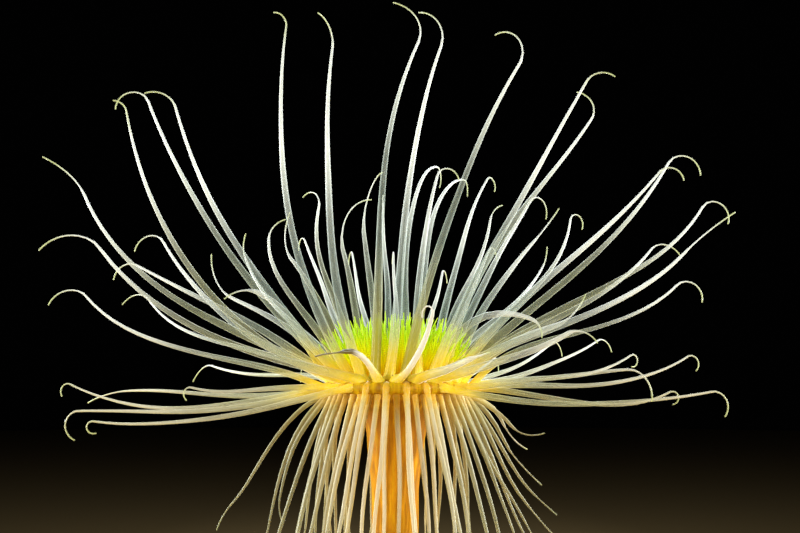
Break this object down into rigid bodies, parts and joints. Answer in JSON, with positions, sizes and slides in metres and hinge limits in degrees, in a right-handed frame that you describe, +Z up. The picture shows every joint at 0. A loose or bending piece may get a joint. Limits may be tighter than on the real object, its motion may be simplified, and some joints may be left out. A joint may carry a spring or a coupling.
{
  "type": "sea anemone",
  "caption": "Tube-dwelling sea anemone model: orange column, green labial tuft and a crown of long pale curled tentacles, on a round base.",
  "frame": {"origin": "centre of the stand's flat underside, straight below the column", "axes": "+Z up along the column, +X to the right of the crown's front, +Y away from its front"},
  "size_m": [0.3132, 0.2258, 0.3715],
  "materials": {
    "base": "satin, dark, fine grain",
    "column": "soft skin, lengthwise wrinkles, moist",
    "disc": "soft skin, moist",
    "mouth": "soft skin, moist",
    "labial": "soft skin, yellow at the foot, bright green at the tip",
    "tentacle": "translucent skin, yellow at the root, white towards the tip"
  },
  "bodies": {
    "root": {"stand_base": "base", "column_lower": "column", "column_middle": "column", "column_upper": "column", "oral_disc": "disc", "mouth": "mouth", "labial_tentacles": "labial", "inner_tentacle_01": "tentacle", "inner_tentacle_02": "tentacle", "inner_tentacle_03": "tentacle", "inner_tentacle_04": "tentacle", "inner_tentacle_05": "tentacle", "inner_tentacle_06": "tentacle", "inner_tentacle_07": "tentacle", "inner_tentacle_08": "tentacle", "inner_tentacle_09": "tentacle", "inner_tentacle_10": "tentacle", "inner_tentacle_11": "tentacle", "inner_tentacle_12": "tentacle", "inner_tentacle_13_root": "tentacle", "inner_tentacle_13_tip": "tentacle", "inner_tentacle_14": "tentacle", "inner_tentacle_15_root": "tentacle", "inner_tentacle_15_tip": "tentacle", "inner_tentacle_16_root": "tentacle", "inner_tentacle_16_tip": "tentacle", "inner_tentacle_17_root": "tentacle", "inner_tentacle_17_tip": "tentacle", "inner_tentacle_18_root": "tentacle", "inner_tentacle_18_tip": "tentacle", "inner_tentacle_19_root": "tentacle", "inner_tentacle_19_tip": "tentacle", "inner_tentacle_20": "tentacle", "inner_tentacle_21": "tentacle", "inner_tentacle_22": "tentacle", "inner_tentacle_23": "tentacle", "inner_tentacle_24": "tentacle", "margin_upper_1": "tentacle", "margin_upper_2": "tentacle", "margin_upper_3": "tentacle", "margin_upper_4": "tentacle", "margin_upper_5": "tentacle", "margin_upper_6": "tentacle", "margin_upper_7": "tentacle", "margin_upper_8": "tentacle", "margin_middle_1": "tentacle", "margin_middle_2": "tentacle", "margin_middle_3": "tentacle", "margin_middle_4": "tentacle", "margin_middle_5": "tentacle", "margin_middle_6": "tentacle", "margin_middle_7": "tentacle", "margin_middle_8": "tentacle", "margin_lower_1": "tentacle", "margin_lower_2": "tentacle", "margin_lower_3": "tentacle", "margin_lower_4": "tentacle"}
  },
  "joints": []
}
